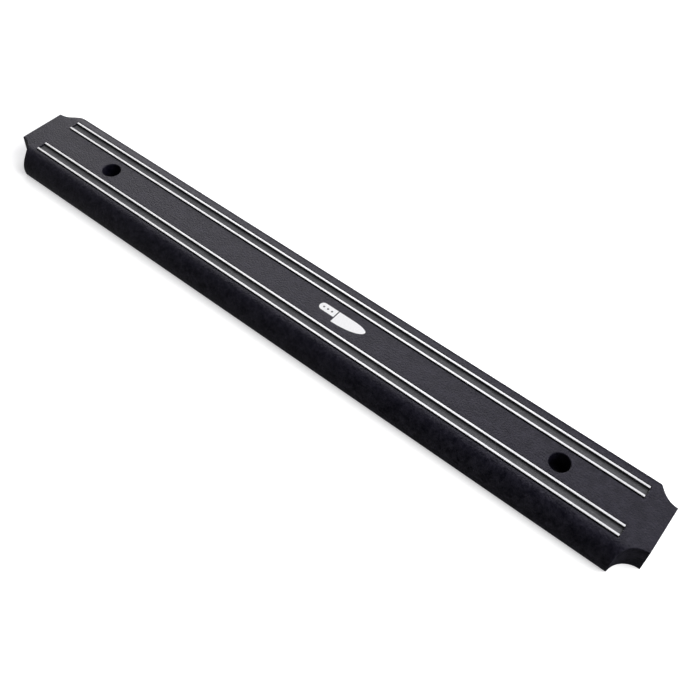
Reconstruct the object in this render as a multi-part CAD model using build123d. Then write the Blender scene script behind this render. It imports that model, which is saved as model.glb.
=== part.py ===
from build123d import *
import math
import os

# Wall rack that holds knives by magnets: a black moulded housing, closed by a back plate,
# with two tracks in its face. Each track is a sandwich of two steel pole strips on edge,
# with a row of ferrite magnets and a filler strip between them.
#
# Frame: +X along the bar, +Y up the wall, +Z out of the wall towards the knives.
# The origin is the centre of the back face, which lies against the wall.

# Housing, in millimetres
LENGTH = 380.0
HEIGHT = 14.4
WALL = 2.0
FLANK_RADIUS = 12.0
FLANK_CENTRE_Y = 11.65
FLANK_CENTRE_Z = 3.8
CREST_RADIUS = 7.2
SCOOP_RADIUS = 10.4
SCOOP_CENTRE_Y = 23.4
FACE_EDGE_RADIUS = 0.4
CAVITY_HALF_WIDTH = 20.2

# Tracks
TRACK_OFFSET = 11.35
TRACK_LENGTH = 353.2
SHOULDER_LENGTH = 358.6
POLE_THICKNESS = 1.2
POLE_PROUD = 0.5
POLE_EDGE_RADIUS = 0.2
MAGNET_WIDTH = 4.0
MAGNET_HEIGHT = 8.0
MAGNET_COUNT = 7
MAGNET_GAP = 0.6
MAGNET_CHAMFER = 0.3
FILLER_LENGTH = 353.7
FILLER_RECESS = 0.9
FILLER_CLEARANCE = 0.1
SLOT_SIDE_CLEARANCE = 0.55
CHANNEL_SIDE_CLEARANCE = 0.15
SLOT_END_CLEARANCE = 0.35

# Wall screws, a little off the bar's middle together with the ribs and stakes
SCREW_SPACING = 275.4
PATTERN_CENTRE_X = 3.4
SCREW_HOLE_RADIUS = 2.4
SCREW_SEAT_Z = 4.5
HEAD_RECESS_RADIUS = 4.8
HEAD_RECESS_CHAMFER = 0.3
BOSS_RADIUS = 7.0

# Ribs inside the housing
RAIL_THICKNESS = 1.4
RIB_THICKNESS = 1.2
RIB_BAYS_TO_SCREW = 5
RIB_BAYS_TO_END = 6
RIB_FOOT_Z = 5.0

# Back plate and the stakes that hold it
PLATE_THICKNESS = 1.6
PLATE_EDGE_INSET = 2.0
PLATE_CLEARANCE = 0.2
STAKE_RADIUS = 1.5
STAKE_HEAD_RADIUS = 2.6
STAKE_HEAD_HEIGHT = 1.0
STAKE_CLEARANCE = 0.1
STAKE_BAYS = (-6, -3, 0, 3, 6)

# Worked out from the sizes above
CREST_CENTRE_Z = HEIGHT - CREST_RADIUS
CREST_CENTRE_Y = FLANK_CENTRE_Y + math.sqrt(
    (FLANK_RADIUS - CREST_RADIUS) ** 2 - (CREST_CENTRE_Z - FLANK_CENTRE_Z) ** 2
)
CEILING_Z = HEIGHT - WALL
POLE_TOP_Z = HEIGHT + POLE_PROUD
POLE_OFFSET = (MAGNET_WIDTH + POLE_THICKNESS) / 2
STACK_WIDTH = MAGNET_WIDTH + 2 * POLE_THICKNESS
SLOT_WIDTH = STACK_WIDTH + 2 * SLOT_SIDE_CLEARANCE
CHANNEL_WIDTH = STACK_WIDTH + 2 * CHANNEL_SIDE_CLEARANCE
SLOT_LENGTH = TRACK_LENGTH + 2 * SLOT_END_CLEARANCE
CHANNEL_LENGTH = SHOULDER_LENGTH + 2 * SLOT_END_CLEARANCE
MAGNET_PITCH = (TRACK_LENGTH - MAGNET_GAP) / MAGNET_COUNT
MAGNET_TOP_Z = PLATE_THICKNESS + MAGNET_HEIGHT
RIB_PITCH = SCREW_SPACING / 2 / RIB_BAYS_TO_SCREW
PLATE_HALF_LENGTH = LENGTH / 2 - PLATE_EDGE_INSET
PLATE_HALF_WIDTH = CAVITY_HALF_WIDTH + 0.8

TRACKS = {"upper": 1, "lower": -1}
ON_FLOOR = (Align.CENTER, Align.CENTER, Align.MIN)


def block(length, width, low, high):
    """A box centred on the bar's axis, from one height to another."""
    return Pos(0, 0, low) * Box(length, width, high - low, align=ON_FLOOR)


def post(radius, low, high):
    """An upright cylinder on the Z axis, from one height to another."""
    return Pos(0, 0, low) * Cylinder(radius, high - low, align=ON_FLOOR)


def barrel_profile(inset):
    """The bar's cross-section, moved inwards by inset: flat top, round crests, bulging flanks."""
    flank = FLANK_RADIUS - inset
    crest = CREST_RADIUS - inset
    top = CREST_CENTRE_Z + crest
    foot_angle = -math.degrees(math.asin(FLANK_CENTRE_Z / flank))
    foot_y = FLANK_CENTRE_Y + flank * math.cos(math.radians(foot_angle))
    join_angle = math.degrees(
        math.atan2(CREST_CENTRE_Z - FLANK_CENTRE_Z, CREST_CENTRE_Y - FLANK_CENTRE_Y)
    )
    flank_arc = CenterArc((FLANK_CENTRE_Y, FLANK_CENTRE_Z), flank, foot_angle, join_angle - foot_angle)
    crest_arc = CenterArc((CREST_CENTRE_Y, CREST_CENTRE_Z), crest, join_angle, 90 - join_angle)
    half = Curve() + [flank_arc, crest_arc]
    top_line = Line((-CREST_CENTRE_Y, top), (CREST_CENTRE_Y, top))
    foot_line = Line((-foot_y, 0), (foot_y, 0))
    outline = Curve() + [foot_line, half, top_line, mirror(half, about=Plane.YZ)]
    return make_face(outline)


def barrel(length, inset):
    """The bar's cross-section run along X."""
    return extrude(Plane.YZ * barrel_profile(inset), length / 2, both=True)


def corner_scoops(radius):
    """Upright cylinders on the four corners of the plan."""
    places = GridLocations(LENGTH, 2 * SCOOP_CENTRE_Y, 2, 2)
    return places * Cylinder(radius, 3 * HEIGHT)


def outer_shell():
    """The housing's outside, with softened edges round both ends of the face."""
    shell = barrel(LENGTH, 0) - corner_scoops(SCOOP_RADIUS)
    face = shell.faces().sort_by(Axis.Z)[-1]
    end_edges = face.edges().filter_by(lambda edge: abs(edge.center().X) > TRACK_LENGTH / 2)
    return fillet(end_edges, FACE_EDGE_RADIUS)


def rails():
    """Four long walls that hold the two track sandwiches upright."""
    walls = []
    for side in TRACKS.values():
        for edge in (-1, 1):
            y = side * TRACK_OFFSET + edge * (CHANNEL_WIDTH + RAIL_THICKNESS) / 2
            walls.append(Pos(0, y, 0) * block(
                CHANNEL_LENGTH + 2 * RAIL_THICKNESS, RAIL_THICKNESS, PLATE_THICKNESS, HEIGHT
            ))
        for end in (-1, 1):
            stop = block(RAIL_THICKNESS, CHANNEL_WIDTH, PLATE_THICKNESS, HEIGHT)
            x = end * (CHANNEL_LENGTH + RAIL_THICKNESS) / 2
            walls.append(Pos(x, side * TRACK_OFFSET, 0) * stop)
    return walls


def cross_ribs():
    """Ribs across the middle bay and the two side bays, clear of the tracks."""
    bay_edge = TRACK_OFFSET - CHANNEL_WIDTH / 2 - RAIL_THICKNESS / 2
    side_edge = TRACK_OFFSET + CHANNEL_WIDTH / 2 + RAIL_THICKNESS / 2
    side_width = CAVITY_HALF_WIDTH + WALL / 2 - side_edge
    ribs = []
    for bay in range(-RIB_BAYS_TO_END, RIB_BAYS_TO_END + 1):
        x = PATTERN_CENTRE_X + bay * RIB_PITCH
        ribs.append(Pos(x, 0, 0) * block(RIB_THICKNESS, 2 * bay_edge, RIB_FOOT_Z, HEIGHT))
        for side in TRACKS.values():
            y = side * (side_edge + side_width / 2)
            ribs.append(Pos(x, y, 0) * block(RIB_THICKNESS, side_width, RIB_FOOT_Z, HEIGHT))
    return ribs


def screw_places():
    """Where the two wall screws go."""
    return Pos(PATTERN_CENTRE_X, 0) * GridLocations(SCREW_SPACING, 0, 2, 1)


def stake_places():
    """Where the back plate is staked to the housing."""
    return Locations(*[(PATTERN_CENTRE_X + bay * RIB_PITCH, 0) for bay in STAKE_BAYS])


def stake(clearance):
    """A moulded post with its head melted into a countersink in the back plate."""
    neck = post(STAKE_RADIUS + clearance, 0, CEILING_Z)
    head = Pos(0, 0, clearance) * Cone(
        STAKE_HEAD_RADIUS + clearance, STAKE_RADIUS + clearance, STAKE_HEAD_HEIGHT, align=ON_FLOOR
    )
    return neck + head


def cavity():
    """The hollow inside the housing, between its ribs, rails and bosses."""
    length = LENGTH - 2 * WALL
    hollow = barrel(length, WALL) & block(length, 2 * CAVITY_HALF_WIDTH, PLATE_THICKNESS, CEILING_Z)
    hollow = hollow - corner_scoops(SCOOP_RADIUS + WALL)
    hollow = hollow - rails()
    hollow = hollow - cross_ribs()
    return hollow - screw_places() * post(BOSS_RADIUS, 0, HEIGHT)


def plate_outline(clearance, thickness):
    """The back plate's plan as a slab, grown by a clearance for the rebate that it lies in."""
    length = 2 * (PLATE_HALF_LENGTH + clearance)
    width = 2 * (PLATE_HALF_WIDTH + clearance)
    corner = SCOOP_RADIUS + PLATE_EDGE_INSET - clearance
    return block(length, width, 0, thickness) - corner_scoops(corner)


def housing():
    """The moulded body."""
    body = outer_shell() - cavity()
    rebate = plate_outline(PLATE_CLEARANCE, PLATE_THICKNESS)
    rebate = rebate - screw_places() * post(BOSS_RADIUS, 0, PLATE_THICKNESS)
    body = body - rebate
    body = body + stake_places() * (stake(0) & block(LENGTH, LENGTH, STAKE_CLEARANCE, CEILING_Z))
    for side in TRACKS.values():
        y = side * TRACK_OFFSET
        body = body - Pos(0, y, 0) * block(CHANNEL_LENGTH, CHANNEL_WIDTH, PLATE_THICKNESS, CEILING_Z)
        body = body - Pos(0, y, 0) * block(SLOT_LENGTH, SLOT_WIDTH, CEILING_Z, HEIGHT)
    recess = post(HEAD_RECESS_RADIUS, SCREW_SEAT_Z, HEIGHT)
    lead_in = Pos(0, 0, HEIGHT - HEAD_RECESS_CHAMFER) * Cone(
        HEAD_RECESS_RADIUS, HEAD_RECESS_RADIUS + HEAD_RECESS_CHAMFER, HEAD_RECESS_CHAMFER, align=ON_FLOOR
    )
    hole = post(SCREW_HOLE_RADIUS, 0, HEIGHT)
    return body - screw_places() * (recess + lead_in + hole)


def back_plate():
    """The flat cover that closes the housing and keeps the track parts in."""
    plate = plate_outline(0, PLATE_THICKNESS)
    plate = plate - screw_places() * post(BOSS_RADIUS + PLATE_CLEARANCE, 0, PLATE_THICKNESS)
    return plate - stake_places() * stake(STAKE_CLEARANCE)


def stepped_bar(length, width, low, high):
    """A bar on edge whose lower part is longer, so that its ends catch under the face."""
    return block(SHOULDER_LENGTH, width, low, CEILING_Z) + block(length, width, low, high)


def pole_strip():
    """A steel strip on edge, its top edge rounded where knives touch it."""
    strip = stepped_bar(TRACK_LENGTH, POLE_THICKNESS, PLATE_THICKNESS, POLE_TOP_Z)
    top_edges = strip.faces().sort_by(Axis.Z)[-1].edges().filter_by(Axis.X)
    return fillet(top_edges, POLE_EDGE_RADIUS)


def filler_strip():
    """The dark strip that fills a track between its two pole strips."""
    width = MAGNET_WIDTH - 2 * FILLER_CLEARANCE
    return stepped_bar(FILLER_LENGTH, width, MAGNET_TOP_Z, HEIGHT - FILLER_RECESS)


def magnet():
    """One ferrite block of the row under a filler strip."""
    bar = block(MAGNET_PITCH - MAGNET_GAP, MAGNET_WIDTH, PLATE_THICKNESS, MAGNET_TOP_Z)
    return chamfer(bar.edges().filter_by(Axis.Y), MAGNET_CHAMFER)


def write(name, shape):
    """Store one piece under its name."""
    export_step(shape, f"parts/{name}.step")


os.makedirs("parts", exist_ok=True)

write("housing", housing())
write("back_plate", back_plate())

for track, side in TRACKS.items():
    for place, outward in (("outer", 1), ("inner", -1)):
        y = side * (TRACK_OFFSET + outward * POLE_OFFSET)
        write(f"{track}_{place}_pole_strip", Pos(0, y, 0) * pole_strip())
    write(f"{track}_filler_strip", Pos(0, side * TRACK_OFFSET, 0) * filler_strip())
    for number in range(1, MAGNET_COUNT + 1):
        x = (number - (MAGNET_COUNT + 1) / 2) * MAGNET_PITCH
        write(f"{track}_magnet_{number}", Pos(x, side * TRACK_OFFSET, 0) * magnet())
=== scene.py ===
import math
from functools import reduce

import bmesh
import bpy
from mathutils import Matrix, Quaternion, Vector


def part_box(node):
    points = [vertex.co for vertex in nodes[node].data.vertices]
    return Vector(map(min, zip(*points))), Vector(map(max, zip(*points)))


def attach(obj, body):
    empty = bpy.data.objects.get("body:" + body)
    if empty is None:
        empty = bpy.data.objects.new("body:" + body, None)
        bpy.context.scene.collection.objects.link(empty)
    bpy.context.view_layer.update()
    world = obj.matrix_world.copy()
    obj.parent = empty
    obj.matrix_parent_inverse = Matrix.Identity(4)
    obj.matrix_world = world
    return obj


# The looks of a magnetic knife rack lying on its back: black spark-eroded plastic, ground steel
# pole strips, grainy filler strips, and a small white printed knife near the middle of the face.
# Lengths are in metres, in the CAD model's frame: +X along the bar, +Z out of its face.

MM = 0.001

# Camera, aimed at a point near the middle of the bar
VIEW_TARGET = Vector((18.22, 16.18, 7.0)) * MM
VIEW_AZIMUTH = 34.55
VIEW_ELEVATION = 50.01
VIEW_ROLL = 4.80
VIEW_DISTANCE = 450.9 * MM
VIEW_SHIFT = (-0.0067, -0.0635)
LENS_MM = 47.65
SENSOR_MM = 36.0
NEAREST_SEEN = 10 * MM

# Moulded plastic: the sizes of its marks, and their depths as multiples of a plastic's own
PLASTIC_EDGE_RADIUS = 0.16 * MM
MOTTLE_SIZE = 4 * MM
PATCH_SIZE = 1.5 * MM
PIT_SIZE = 0.9 * MM
GRAIN_SIZE = 0.5 * MM
PIT_DEPTH_FACTOR = 1.8
GRAIN_DEPTH_FACTOR = 0.8
EDGE_SMOOTHER = 0.08
PLASTIC_SHINE_TINT = (0.96, 0.93, 1.0, 1)

# Steel: bright where its edge is ground; its sides have a duller as-rolled finish, painted much darker as
# shade
STEEL_EDGE_RADIUS = 0.12 * MM
STEEL_STREAK_SIZE = 0.12 * MM
STEEL_STREAK_DEPTH = 0.006 * MM
STEEL_CLOUD_SIZE = 5 * MM
# Side colour: painted shade over a duller as-rolled finish; the ground colour is the strip's own
SIDE_FINISH_AND_SHADE = ((0.06, 0.06, 0.065), (0.12, 0.12, 0.125))
GROUND_FINISH = ((0.7, 0.7, 0.705), (0.8, 0.8, 0.8))
WORN_STEEL = (0.84, 0.84, 0.84)
STEEL_METAL_SHARE = 0.5

# Filler strips
FILLER_STREAK_SIZE = 0.35 * MM
FILLER_SPECK_SIZE = 0.4 * MM
FILLER_CLOUD_SIZE = 9 * MM
FILLER_DEPTH = 0.03 * MM
FILLER_GREY = ((0.038, 0.038, 0.042), (0.105, 0.105, 0.111))
FILLER_SPECK = (0.26, 0.26, 0.267)

# Magnet blocks
CRYSTAL_SIZE = 0.18 * MM
CRYSTAL_DEPTH = 0.02 * MM
MAGNET_CLOUD_SIZE = 4 * MM
MAGNET_GREY = ((0.035, 0.036, 0.04), (0.06, 0.06, 0.063))

# Printed mark
MARK_CENTRE = (22.2 * MM, -0.3 * MM)
MARK_LENGTH = 27.0 * MM
MARK_THICKNESS = 0.03 * MM
BLADE_SHARE = 0.62
BLADE_HEIGHT = 7.2 * MM
TIP_DROP = 0.3 * BLADE_HEIGHT
CURVED_SPINE_SHARE = 0.45
HANDLE_HEIGHT = 4.4 * MM
BOLSTER_GAP = 0.6 * MM
RIVET_RADIUS = 0.5 * MM
RIVET_COUNT = 3
ARC_STEPS = 24
INK_SIZE = 0.5 * MM
INK_DEPTH = 0.01 * MM
INK_WHITE = ((0.78, 0.78, 0.78), (0.9, 0.9, 0.9))

# Floor
FLOOR_SIZE = 8.0
FLOOR_DROP = 0.05 * MM
FLOOR_GLOW = 0.5

# Light tent: a light is a brightness, and a factor is what it is multiplied by on that side
FRONT_LIGHT = 0.02
BACK_LIGHT = 1.46
STRAIGHT_BACK_FACTOR = 0.5
LEFT_FACTOR = 1.72
RIGHT_FACTOR = 0.36
ROOF_STRIP_TILT = 0.675
ROOF_STRIP_LIGHT = 0.8
FAR_LEFT_LIGHT = 0.12
UNDER_LIGHT = 0.05
RIGHT_WALL_LIGHT = 0.55
LEFT_COLOUR = (1.0, 0.99, 1.0)
RIGHT_COLOUR = (0.985, 0.985, 1.05)


def add(tree, kind, inputs=None, **settings):
    """Adds a shader node, sets it up, and links or fills its inputs."""
    node = tree.nodes.new("ShaderNode" + kind)
    for name, value in settings.items():
        setattr(node, name, value)
    for name, value in (inputs or {}).items():
        if isinstance(value, bpy.types.NodeSocket):
            tree.links.new(value, node.inputs[name])
        else:
            node.inputs[name].default_value = value
    return node


def empty_material(name):
    """A material with no nodes yet."""
    material = bpy.data.materials.new(name)
    material.use_nodes = True
    material.node_tree.nodes.clear()
    return material, material.node_tree


def finish_material(tree, **inputs):
    """Adds the surface shader and the output."""
    names = {name.replace("_", " "): value for name, value in inputs.items()}
    shader = add(tree, "BsdfPrincipled", names)
    add(tree, "OutputMaterial", {"Surface": shader.outputs["BSDF"]})


def place(tree, stretch=(1, 1, 1)):
    """Where on the object a point is, in metres, stretched for streaks."""
    where = add(tree, "TexCoord").outputs["Object"]
    return add(tree, "Mapping", {"Vector": where, "Scale": stretch}).outputs["Vector"]


def noise(tree, where, feature, detail, roughness=0.5):
    """Noise from 0 to 1 whose blobs are about one feature across, in metres."""
    inputs = {"Vector": where, "Scale": 1 / feature, "Detail": detail, "Roughness": roughness}
    return add(tree, "TexNoise", inputs).outputs["Fac"]


def spread(tree, value, low, high, start=0.3, end=0.7):
    """Maps a value's start to end onto low to high."""
    inputs = {"Value": value, "From Min": start, "From Max": end, "To Min": low, "To Max": high}
    return add(tree, "MapRange", inputs).outputs["Result"]


def calculate(tree, operation, *values):
    """One arithmetic step on one, two or three values."""
    return add(tree, "Math", dict(enumerate(values)), operation=operation).outputs["Value"]


def product(tree, *values):
    """All the values multiplied together."""
    return reduce(lambda first, second: calculate(tree, "MULTIPLY", first, second), values)


def total(tree, *values):
    """All the values added up."""
    return reduce(lambda first, second: calculate(tree, "ADD", first, second), values)


def tint(tree, share, first, second):
    """Mixes two colours, each one a socket or its red, green and blue."""
    inputs = {"Fac": share}
    for name, colour in (("Color1", first), ("Color2", second)):
        inputs[name] = colour if isinstance(colour, bpy.types.NodeSocket) else (*colour, 1)
    return add(tree, "MixRGB", inputs).outputs["Color"]


def bump(tree, height, depth, normal=None):
    """A surface normal for bumps of that depth, in metres."""
    inputs = {"Height": height, "Distance": depth, "Strength": 1.0}
    if normal is not None:
        inputs["Normal"] = normal
    return add(tree, "Bump", inputs).outputs["Normal"]


def edges(tree, radius):
    """The normal with its edges rounded by a radius, and a mask that is 1 on those edges."""
    rounded = add(tree, "Bevel", {"Radius": radius}, samples=6).outputs["Normal"]
    flat = add(tree, "NewGeometry").outputs["Normal"]
    match = add(tree, "VectorMath", {0: rounded, 1: flat}, operation="DOT_PRODUCT").outputs["Value"]
    return rounded, spread(tree, match, 1.0, 0.0, start=0.75, end=0.995)


def moulded_plastic(name, dark, pale, worn, smooth, rough, depth):
    """Black moulded plastic: spark-eroded grain, faint mottling, edges rubbed a little smoother."""
    material, tree = empty_material(name)
    where = place(tree)
    rounded, edge = edges(tree, PLASTIC_EDGE_RADIUS)
    mottle = noise(tree, where, MOTTLE_SIZE, detail=4, roughness=0.6)
    patch = noise(tree, where, PATCH_SIZE, detail=3, roughness=0.65)
    pits = noise(tree, where, PIT_SIZE, detail=2, roughness=0.6)
    grain = noise(tree, where, GRAIN_SIZE, detail=3, roughness=0.7)
    cloudy = spread(tree, product(tree, mottle, patch), 0, 1, start=0.13, end=0.39)
    rubbed = tint(tree, spread(tree, patch, 0, 1), worn, pale)
    colour = tint(tree, edge, tint(tree, cloudy, dark, pale), rubbed)
    eased = product(tree, edge, EDGE_SMOOTHER)
    roughness = calculate(tree, "SUBTRACT", spread(tree, patch, smooth, rough), eased)
    pitted = bump(tree, pits, PIT_DEPTH_FACTOR * depth, rounded)
    normal = bump(tree, grain, GRAIN_DEPTH_FACTOR * depth, pitted)
    finish_material(tree, Base_Color=colour, Roughness=roughness, Normal=normal,
                    IOR=1.5, Specular_IOR_Level=0.5, Specular_Tint=PLASTIC_SHINE_TINT)
    return material


def ground_steel(name):
    """Cold-rolled steel strip: bright ground edge; duller as-rolled sides, their colour painted much darker
    as shade.
    """
    material, tree = empty_material(name)
    rounded, edge = edges(tree, STEEL_EDGE_RADIUS)
    streak = noise(tree, place(tree, (0.02, 1, 1)), STEEL_STREAK_SIZE, detail=3, roughness=0.6)
    cloud = noise(tree, place(tree), STEEL_CLOUD_SIZE, detail=3)
    facing = add(tree, "SeparateXYZ", {"Vector": add(tree, "NewGeometry").outputs["Normal"]})
    # Painted shade: faces that turn away from the top get the dark side colour instead of the ground colour
    ground = spread(tree, facing.outputs["Z"], 0, 1, start=0.3, end=0.8)
    side_finish_and_shade = tint(tree, spread(tree, cloud, 0, 1), *SIDE_FINISH_AND_SHADE)
    polish = tint(tree, spread(tree, cloud, 0, 1), *GROUND_FINISH)
    worn = product(tree, edge, ground)
    colour = tint(tree, worn, tint(tree, ground, side_finish_and_shade, polish), WORN_STEEL)
    roughness = spread(tree, streak, 0.22, 0.38)
    normal = bump(tree, streak, STEEL_STREAK_DEPTH, rounded)
    finish_material(tree, Base_Color=colour, Metallic=STEEL_METAL_SHARE, Roughness=roughness, Normal=normal)
    return material


def bonded_ferrite(name):
    """Extruded magnet rubber: dark grey, matt, with fine streaks and specks."""
    material, tree = empty_material(name)
    where = place(tree)
    streak = noise(tree, place(tree, (0.06, 1, 1)), FILLER_STREAK_SIZE, detail=3, roughness=0.65)
    speck = noise(tree, where, FILLER_SPECK_SIZE, detail=2, roughness=0.8)
    cloud = noise(tree, where, FILLER_CLOUD_SIZE, detail=3)
    base = tint(tree, spread(tree, streak, 0, 1), *FILLER_GREY)
    specks = spread(tree, speck, 0, 0.5, start=0.55, end=0.75)
    colour = tint(tree, specks, base, FILLER_SPECK)
    roughness = spread(tree, cloud, 0.5, 0.68)
    normal = bump(tree, total(tree, streak, speck), FILLER_DEPTH)
    finish_material(tree, Base_Color=colour, Roughness=roughness, Normal=normal)
    return material


def sintered_ferrite(name):
    """Hard ferrite: charcoal, dull, ground faces with small chips of shine."""
    material, tree = empty_material(name)
    where = place(tree)
    crystal = noise(tree, where, CRYSTAL_SIZE, detail=2, roughness=0.8)
    cloud = noise(tree, where, MAGNET_CLOUD_SIZE, detail=3)
    colour = tint(tree, spread(tree, cloud, 0, 1), *MAGNET_GREY)
    roughness = spread(tree, crystal, 0.75, 0.45)
    normal = bump(tree, crystal, CRYSTAL_DEPTH)
    finish_material(tree, Base_Color=colour, Roughness=roughness, Normal=normal)
    return material


def white_ink(name):
    """Pad-printed white ink, a little uneven."""
    material, tree = empty_material(name)
    cover = noise(tree, place(tree), INK_SIZE, detail=3, roughness=0.6)
    colour = tint(tree, spread(tree, cover, 0, 1), *INK_WHITE)
    roughness = spread(tree, cover, 0.55, 0.4)
    normal = bump(tree, cover, INK_DEPTH)
    finish_material(tree, Base_Color=colour, Roughness=roughness, Normal=normal)
    return material


def pale_floor(name):
    """A plain white studio surface that glows a little, like a light table."""
    material, tree = empty_material(name)
    finish_material(tree, Base_Color=(0.9, 0.9, 0.9, 1), Roughness=0.9, Specular_IOR_Level=0.1,
                    Emission_Color=(1, 1, 1, 1), Emission_Strength=FLOOR_GLOW)
    return material


def paint(nodes, name, material):
    """Gives a CAD node its detailed material."""
    slots = nodes[name].data.materials
    slots.clear()
    slots.append(material)


def arc(centre, radius, start, end, steps=ARC_STEPS):
    """Points along an ellipse's arc, from one angle to another in degrees."""
    angles = [math.radians(start + (end - start) * step / steps) for step in range(steps + 1)]
    return [(centre[0] + radius[0] * math.cos(a), centre[1] + radius[1] * math.sin(a)) for a in angles]


def ring(centre, radius):
    """Points all round a circle."""
    return arc(centre, (radius, radius), 0, 360 - 360 / ARC_STEPS, ARC_STEPS - 1)


def blade_outline():
    """A cook's knife blade pointing along +X: curved belly, straight spine, dropped tip."""
    blade = MARK_LENGTH * BLADE_SHARE
    heel = MARK_LENGTH / 2 - blade
    spine = BLADE_HEIGHT / 2
    curved = CURVED_SPINE_SHARE * blade
    belly = arc((heel, spine - TIP_DROP), (blade, BLADE_HEIGHT - TIP_DROP), -90, 0)
    back = arc((heel + blade - curved, spine - TIP_DROP), (curved, TIP_DROP), 0, 90)
    return belly + back[1:] + [(heel, spine)]


def handle_outlines():
    """The knife's round-ended handle, and its rivets as holes."""
    butt = -MARK_LENGTH / 2
    front = MARK_LENGTH / 2 - MARK_LENGTH * BLADE_SHARE - BOLSTER_GAP
    grip = HANDLE_HEIGHT / 2
    middle = BLADE_HEIGHT / 2 - grip
    rounded_end = arc((butt + grip, middle), (grip, grip), 90, 270)
    outline = rounded_end + [(front, middle - grip), (front, middle + grip)]
    step = (front - butt) / (RIVET_COUNT + 1)
    rivets = [ring((butt + step * number, middle), RIVET_RADIUS) for number in range(1, RIVET_COUNT + 1)]
    return [outline] + rivets


def flat_piece(name, outlines, at, low, high, material):
    """A thin slab with those outlines; one inside another is a hole."""
    curve = bpy.data.curves.new(name, "CURVE")
    curve.dimensions = "2D"
    curve.fill_mode = "BOTH"
    curve.extrude = (high - low) / 2
    for outline in outlines:
        spline = curve.splines.new("POLY")
        spline.points.add(len(outline) - 1)
        for point, (x, y) in zip(spline.points, outline):
            point.co = (x, y, 0, 1)
        spline.use_cyclic_u = True
    pattern = bpy.data.objects.new(name + "_pattern", curve)
    mesh = bpy.data.meshes.new_from_object(pattern)
    bpy.data.objects.remove(pattern)
    mesh.name = name
    mesh.transform(Matrix.Translation((*at, (low + high) / 2)))
    mesh.materials.clear()
    mesh.materials.append(material)
    piece = bpy.data.objects.new(name, mesh)
    bpy.context.scene.collection.objects.link(piece)
    return piece


def printed_mark(face_height):
    """The white knife printed near the middle of the face."""
    outlines = [blade_outline()] + handle_outlines()
    ink = white_ink("white_ink")
    piece = flat_piece("printed_knife", outlines, MARK_CENTRE, face_height, face_height + MARK_THICKNESS, ink)
    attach(piece, "root")


def floor():
    """The white surface that the bar lies on."""
    mesh = bpy.data.meshes.new("floor")
    build = bmesh.new()
    bmesh.ops.create_grid(build, x_segments=4, y_segments=4, size=FLOOR_SIZE / 2)
    build.to_mesh(mesh)
    build.free()
    mesh.materials.append(pale_floor("floor_white"))
    piece = bpy.data.objects.new("floor", mesh)
    piece.location.z = -FLOOR_DROP
    piece.visible_glossy = False
    bpy.context.scene.collection.objects.link(piece)


def tent_light(tree):
    """The light tent: bright behind and to the left, with a lamp strip in its roof, dark in front."""
    where = add(tree, "SeparateXYZ", {"Vector": add(tree, "TexCoord").outputs["Generated"]}).outputs
    above = spread(tree, where["Z"], 0.0, 1.0, start=-0.1, end=0.1)
    behind = spread(tree, where["Y"], FRONT_LIGHT, BACK_LIGHT, start=0.22, end=0.6)
    falloff = spread(tree, where["Y"], 1.0, STRAIGHT_BACK_FACTOR, start=0.54, end=0.9)
    sideways = spread(tree, where["X"], LEFT_FACTOR, RIGHT_FACTOR, start=-0.26, end=0.07)
    tent = product(tree, behind, falloff, sideways, above)
    across = calculate(tree, "MULTIPLY_ADD", where["Z"], -ROOF_STRIP_TILT, where["Y"])
    strip = spread(tree, calculate(tree, "ABSOLUTE", across), 1.0, 0.0, start=0.03, end=0.2)
    along = spread(tree, where["X"], 0.0, ROOF_STRIP_LIGHT, start=-0.62, end=0.0)
    lamp = product(tree, strip, along, above)
    far_left = spread(tree, where["X"], FAR_LEFT_LIGHT, 0.0, start=-0.8, end=-0.4)
    below = spread(tree, where["Z"], UNDER_LIGHT, 0.0, start=-0.8, end=-0.2)
    right = product(tree, spread(tree, where["X"], 0.0, RIGHT_WALL_LIGHT, start=0.3, end=0.85), above)
    level = total(tree, tent, lamp, far_left, below, right)
    colour = tint(tree, spread(tree, where["X"], 0, 1, start=-0.6, end=0.1), LEFT_COLOUR, RIGHT_COLOUR)
    return add(tree, "Background", {"Color": colour, "Strength": level}).outputs["Background"]


def studio_world():
    """The light tent, with a plain white backdrop in its place where the camera looks past the floor."""
    world = bpy.data.worlds.new("studio")
    bpy.context.scene.world = world
    world.use_nodes = True
    tree = world.node_tree
    tree.nodes.clear()
    backdrop = add(tree, "Background", {"Color": (1, 1, 1, 1), "Strength": 1.0}).outputs["Background"]
    looked_at = add(tree, "LightPath").outputs["Is Camera Ray"]
    seen = add(tree, "MixShader", {0: looked_at, 1: tent_light(tree), 2: backdrop})
    add(tree, "OutputWorld", {"Surface": seen.outputs["Shader"]})


def bearing(azimuth, elevation):
    """The direction of a place round the bar: degrees to the right of in front, and degrees up."""
    turn, rise = math.radians(azimuth), math.radians(elevation)
    return Vector((math.sin(turn) * math.cos(rise), -math.cos(turn) * math.cos(rise), math.sin(rise)))


def softbox(name, azimuth, elevation, distance, size, power):
    """A square area light aimed at the bar, placed by its bearing round it."""
    away = bearing(azimuth, elevation)
    light = bpy.data.lights.new(name, "AREA")
    light.shape = "SQUARE"
    light.size = size
    light.energy = power
    lamp = bpy.data.objects.new(name, light)
    lamp.location = away * distance
    lamp.rotation_mode = "QUATERNION"
    lamp.rotation_quaternion = (-away).to_track_quat("-Z", "Y")
    lamp.visible_camera = False
    lamp.visible_glossy = False
    bpy.context.scene.collection.objects.link(lamp)


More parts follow.
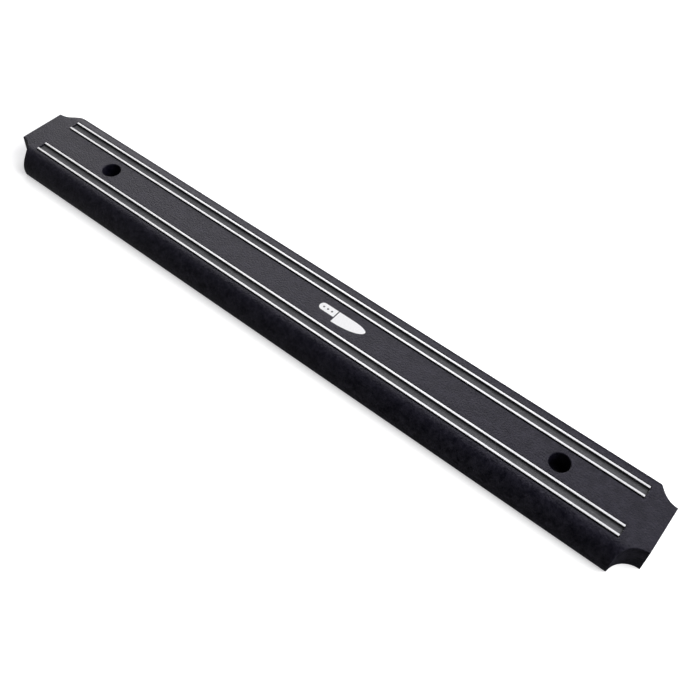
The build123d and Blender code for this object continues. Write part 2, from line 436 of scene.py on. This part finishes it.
def camera():
    """The camera, in front of the bar, to its right and above it."""
    away = bearing(VIEW_AZIMUTH, VIEW_ELEVATION)
    data = bpy.data.cameras.new("camera")
    data.lens = LENS_MM
    data.sensor_width = SENSOR_MM
    data.shift_x, data.shift_y = VIEW_SHIFT
    data.clip_start = NEAREST_SEEN
    seen_from = bpy.data.objects.new("camera", data)
    seen_from.location = VIEW_TARGET + away * VIEW_DISTANCE
    seen_from.rotation_mode = "QUATERNION"
    roll = Quaternion((0, 0, 1), math.radians(VIEW_ROLL))
    seen_from.rotation_quaternion = (-away).to_track_quat("-Z", "Y") @ roll
    bpy.context.scene.collection.objects.link(seen_from)
    bpy.context.scene.camera = seen_from


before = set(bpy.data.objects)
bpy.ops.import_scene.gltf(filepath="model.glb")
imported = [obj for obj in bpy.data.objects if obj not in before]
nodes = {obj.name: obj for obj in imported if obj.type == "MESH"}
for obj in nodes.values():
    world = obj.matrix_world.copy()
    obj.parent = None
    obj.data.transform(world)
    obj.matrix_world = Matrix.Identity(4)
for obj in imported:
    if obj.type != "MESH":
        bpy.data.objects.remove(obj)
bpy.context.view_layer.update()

camera()
studio_world()
floor()
softbox("back_light", azimuth=112, elevation=48, distance=1.3, size=0.9, power=15)
bpy.context.scene.view_settings.view_transform = "Standard"

housing_black = moulded_plastic("housing_black", dark=(0.001, 0.001, 0.005), pale=(0.016, 0.0148, 0.024),
                                worn=(0.018, 0.017, 0.024), smooth=0.34, rough=0.48, depth=0.14 * MM)
plate_black = moulded_plastic("plate_black", dark=(0.008, 0.008, 0.009), pale=(0.013, 0.013, 0.014),
                              worn=(0.025, 0.025, 0.026), smooth=0.55, rough=0.68, depth=0.03 * MM)
pole_steel = ground_steel("pole_steel")
filler_grey = bonded_ferrite("filler_grey")
magnet_grey = sintered_ferrite("magnet_grey")

for name in nodes:
    if "pole_strip" in name:
        paint(nodes, name, pole_steel)
    elif "filler_strip" in name:
        paint(nodes, name, filler_grey)
    elif "magnet" in name:
        paint(nodes, name, magnet_grey)
paint(nodes, "housing", housing_black)
paint(nodes, "back_plate", plate_black)

printed_mark(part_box("housing")[1].z)
